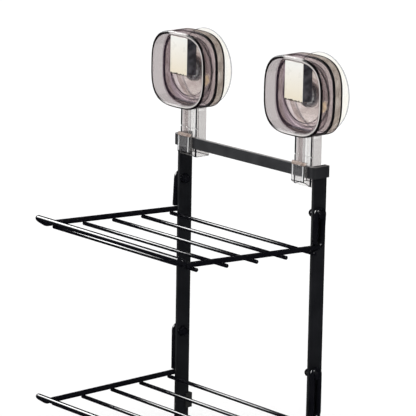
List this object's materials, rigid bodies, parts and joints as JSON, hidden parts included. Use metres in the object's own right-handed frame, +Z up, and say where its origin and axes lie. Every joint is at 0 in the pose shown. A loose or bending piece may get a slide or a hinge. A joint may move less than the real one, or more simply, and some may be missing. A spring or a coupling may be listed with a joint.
{
  "type": "shower caddy",
  "caption": "Wall-hung shower caddy: twist-lock suction cups with J hooks carry a flat-bar frame with folding wire shelves.",
  "frame": {"origin": "on the wall plane, midway between the axes of the two suction cups", "axes": "+X along the wall to the viewer's right, +Y into the wall, +Z up"},
  "size_m": [0.2222, 0.1771, 0.3706],
  "materials": {
    "soft_clear": "soft clear plastic, faintly yellow, glossy",
    "smoked_clear": "clear plastic with a grey-brown smoke tint, polished",
    "smoked_knob": "clear plastic with a light grey-mauve smoke tint, polished",
    "hard_clear": "clear hard plastic with a faint grey tint, polished",
    "ivory": "ivory moulded plastic, smooth",
    "hub_steel": "dark plated steel",
    "satin_black": "satin black powder coat",
    "satin_grey_black": "satin black powder coat, front face catching light",
    "gloss_black": "glossy black coating",
    "rubber_black": "matt black rubber"
  },
  "bodies": {
    "wall_mounts": {"left_suction_pad": "soft_clear", "left_housing": "smoked_clear", "left_hook_bracket": "hard_clear", "right_suction_pad": "soft_clear", "right_housing": "smoked_clear", "right_hook_bracket": "hard_clear"},
    "frame": {"cross_bar": "satin_grey_black", "left_upright": "satin_black", "left_bumper": "rubber_black", "right_upright": "satin_black", "right_bumper": "rubber_black", "upper_left_bolt": "gloss_black", "upper_left_washer": "gloss_black", "upper_left_dome_nut": "gloss_black", "upper_right_bolt": "gloss_black", "upper_right_washer": "gloss_black", "upper_right_dome_nut": "gloss_black", "lower_left_bolt": "gloss_black", "lower_left_washer": "gloss_black", "lower_left_dome_nut": "gloss_black", "lower_right_bolt": "gloss_black", "lower_right_washer": "gloss_black", "lower_right_dome_nut": "gloss_black"},
    "left_knob_turning": {"left_knob": "smoked_knob", "left_grip": "ivory", "left_hub_washer": "hub_steel", "left_hub_nut": "hub_steel"},
    "left_post": {"left_pull_post": "hub_steel"},
    "right_knob_turning": {"right_knob": "smoked_knob", "right_grip": "ivory", "right_hub_washer": "hub_steel", "right_hub_nut": "hub_steel"},
    "right_post": {"right_pull_post": "hub_steel"},
    "upper_shelf": {"upper_frame_wire": "gloss_black", "upper_cross_wire_1": "gloss_black", "upper_cross_wire_2": "gloss_black", "upper_cross_wire_3": "gloss_black", "upper_cross_wire_4": "gloss_black", "upper_cross_wire_5": "gloss_black"},
    "lower_shelf": {"lower_frame_wire": "gloss_black", "lower_cross_wire_1": "gloss_black", "lower_cross_wire_2": "gloss_black", "lower_cross_wire_3": "gloss_black", "lower_cross_wire_4": "gloss_black", "lower_cross_wire_5": "gloss_black"}
  },
  "joints": [
    {"name": "frame_lift", "type": "slide", "parent": "wall_mounts", "child": "frame", "axis": [0, 0, 1], "range_m": [0, 0.018]},
    {"name": "left_knob_turn", "type": "hinge", "parent": "wall_mounts", "child": "left_knob_turning", "pos_m": [-0.07475, -0.02, 0], "axis": [0, 1, 0], "range_deg": [-90, 0]},
    {"name": "left_post_pull", "type": "slide", "parent": "wall_mounts", "child": "left_post", "axis": [0, 1, 0], "range_m": [0, 0.0021]},
    {"name": "right_knob_turn", "type": "hinge", "parent": "wall_mounts", "child": "right_knob_turning", "pos_m": [0.07475, -0.02, 0], "axis": [0, 1, 0], "range_deg": [-90, 0]},
    {"name": "right_post_pull", "type": "slide", "parent": "wall_mounts", "child": "right_post", "axis": [0, 1, 0], "range_m": [0, 0.0021]},
    {"name": "upper_shelf_fold", "type": "hinge", "parent": "frame", "child": "upper_shelf", "pos_m": [0, -0.0146, -0.1026], "axis": [-1, 0, 0], "range_deg": [0, 87]},
    {"name": "lower_shelf_fold", "type": "hinge", "parent": "frame", "child": "lower_shelf", "pos_m": [0, -0.0146, -0.2454], "axis": [-1, 0, 0], "range_deg": [0, 50]}
  ],
  "couplings": [
    {"joint": "left_post_pull", "follows": "left_knob_turn", "m_per_rad": -0.0012732},
    {"joint": "right_post_pull", "follows": "right_knob_turn", "m_per_rad": -0.0012732}
  ]
}
